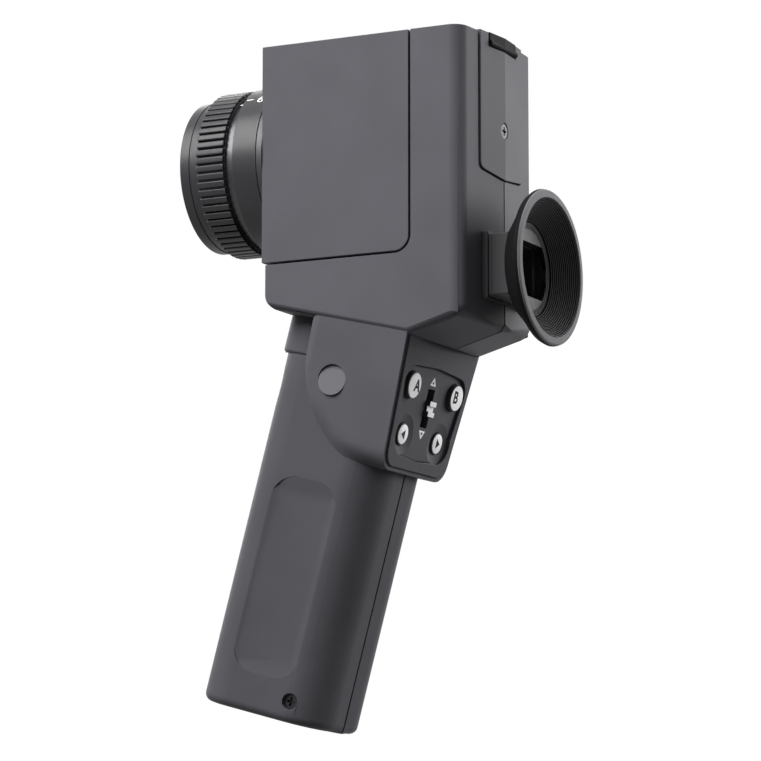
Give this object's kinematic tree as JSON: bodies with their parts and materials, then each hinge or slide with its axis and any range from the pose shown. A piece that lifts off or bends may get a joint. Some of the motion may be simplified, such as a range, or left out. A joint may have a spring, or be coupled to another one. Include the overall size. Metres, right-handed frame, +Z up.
{
  "type": "spot luminance meter",
  "caption": "Pistol-grip spot light meter: boxy reflex head, focusing lens, rubber eyecup low at the back, raked grip with trigger and a thumb keypad.",
  "frame": {"origin": "centre of the tripod socket's mouth in the foot of the grip", "axes": "+X from the lens to the eyepiece, along the lens axis; +Y to the user's right; +Z up"},
  "size_m": [0.1085, 0.0502, 0.1977],
  "materials": {
    "anthracite_plastic": "fine matt texture, anthracite",
    "grip_plastic": "fine matt texture, dark anthracite",
    "black_rubber": "matt",
    "black_anodised": "black anodised, satin",
    "black_plastic": "matt",
    "flange_alloy": "black anodised",
    "steel": "zinc plated",
    "brass": "turned",
    "key_grey": "satin",
    "circuit_board": "solder mask",
    "optical_glass": "polished and coated",
    "mirror_coat": "front coated",
    "display_plastic": "gloss",
    "cell_wrap": "gloss sleeve"
  },
  "bodies": {
    "meter_body": {"front_cover": "anthracite_plastic", "head_left": "anthracite_plastic", "head_right": "anthracite_plastic", "head_screws": "steel", "rear_panel": "anthracite_plastic", "rear_panel_screw": "steel", "usb_socket": "steel", "main_board": "circuit_board", "board_screws": "steel", "lens_flange": "flange_alloy", "flange_screws": "steel", "lens_barrel": "black_anodised", "guide_pin": "steel", "optics_chassis": "black_anodised", "chassis_screws": "steel", "main_mirror": "mirror_coat", "lower_mirror": "mirror_coat", "focusing_screen": "optical_glass", "display_module": "display_plastic", "sensor_board": "circuit_board", "photodiode": "steel", "photopic_filter": "optical_glass", "sensor_hood": "black_anodised", "eyepiece_block": "black_plastic", "eyepiece_lens": "optical_glass", "eyecup_frame": "black_plastic", "eyecup": "black_rubber", "collar_screw": "steel", "collar_plugs": "grip_plastic", "control_housing": "grip_plastic", "keypad_board": "circuit_board", "keypad_screws": "steel", "key_mat": "black_rubber", "lever_switch": "black_plastic", "grip_left": "grip_plastic", "grip_right": "grip_plastic", "grip_screw": "steel", "trigger_switch": "black_plastic", "battery": "cell_wrap", "top_contact": "steel", "tripod_bush": "brass"},
    "lens_group": {"lens_cell": "black_anodised", "front_element": "optical_glass", "rear_element": "optical_glass", "retaining_ring": "black_anodised", "filter_ring": "black_anodised", "filter_glass": "optical_glass"},
    "focus_ring": {"focus_ring": "black_anodised"},
    "trigger": {"trigger": "grip_plastic"},
    "button_a": {"button_a": "key_grey"},
    "button_b": {"button_b": "key_grey"},
    "button_left": {"button_left": "key_grey"},
    "button_right": {"button_right": "key_grey"},
    "lever": {"lever": "key_grey"},
    "port_flap": {"port_flap": "black_rubber"},
    "battery_cap": {"battery_cap": "grip_plastic", "battery_spring": "steel"}
  },
  "joints": [
    {"name": "focus_turn", "type": "hinge", "parent": "meter_body", "child": "focus_ring", "pos_m": [-0.01494, 0, 0.16118], "axis": [-1, 0, 0], "range_deg": [0, 210]},
    {"name": "focus_slide", "type": "slide", "parent": "meter_body", "child": "lens_group", "axis": [-1, 0, 0], "range_m": [0, 0.0026]},
    {"name": "trigger_press", "type": "slide", "parent": "meter_body", "child": "trigger", "axis": [0.9646, 0, -0.2639], "range_m": [0, 0.002], "stiffness_N_per_m": 900, "springref_m": -0.001},
    {"name": "button_a_press", "type": "slide", "parent": "meter_body", "child": "button_a", "axis": [-0.9646, 0, 0.2639], "range_m": [0, 0.001], "stiffness_N_per_m": 800, "springref_m": -0.0005},
    {"name": "button_b_press", "type": "slide", "parent": "meter_body", "child": "button_b", "axis": [-0.9646, 0, 0.2639], "range_m": [0, 0.001], "stiffness_N_per_m": 800, "springref_m": -0.0005},
    {"name": "button_left_press", "type": "slide", "parent": "meter_body", "child": "button_left", "axis": [-0.9646, 0, 0.2639], "range_m": [0, 0.001], "stiffness_N_per_m": 800, "springref_m": -0.0005},
    {"name": "button_right_press", "type": "slide", "parent": "meter_body", "child": "button_right", "axis": [-0.9646, 0, 0.2639], "range_m": [0, 0.001], "stiffness_N_per_m": 800, "springref_m": -0.0005},
    {"name": "lever_rock", "type": "slide", "parent": "meter_body", "child": "lever", "axis": [0.2639, 0, 0.9646], "range_m": [-0.0024, 0.0024], "stiffness_N_per_m": 300},
    {"name": "flap_open", "type": "hinge", "parent": "meter_body", "child": "port_flap", "pos_m": [0.06717, 0, 0.19028], "axis": [0, 1, 0], "range_deg": [0, 90]},
    {"name": "cap_turn", "type": "hinge", "parent": "meter_body", "child": "battery_cap", "pos_m": [-0.01247, 0, 0.00445], "axis": [-0.2639, 0, -0.9646], "range_deg": [0, 80]}
  ],
  "couplings": [
    {"joint": "focus_turn", "follows": "focus_slide", "rad_per_m": 1409.5}
  ]
}
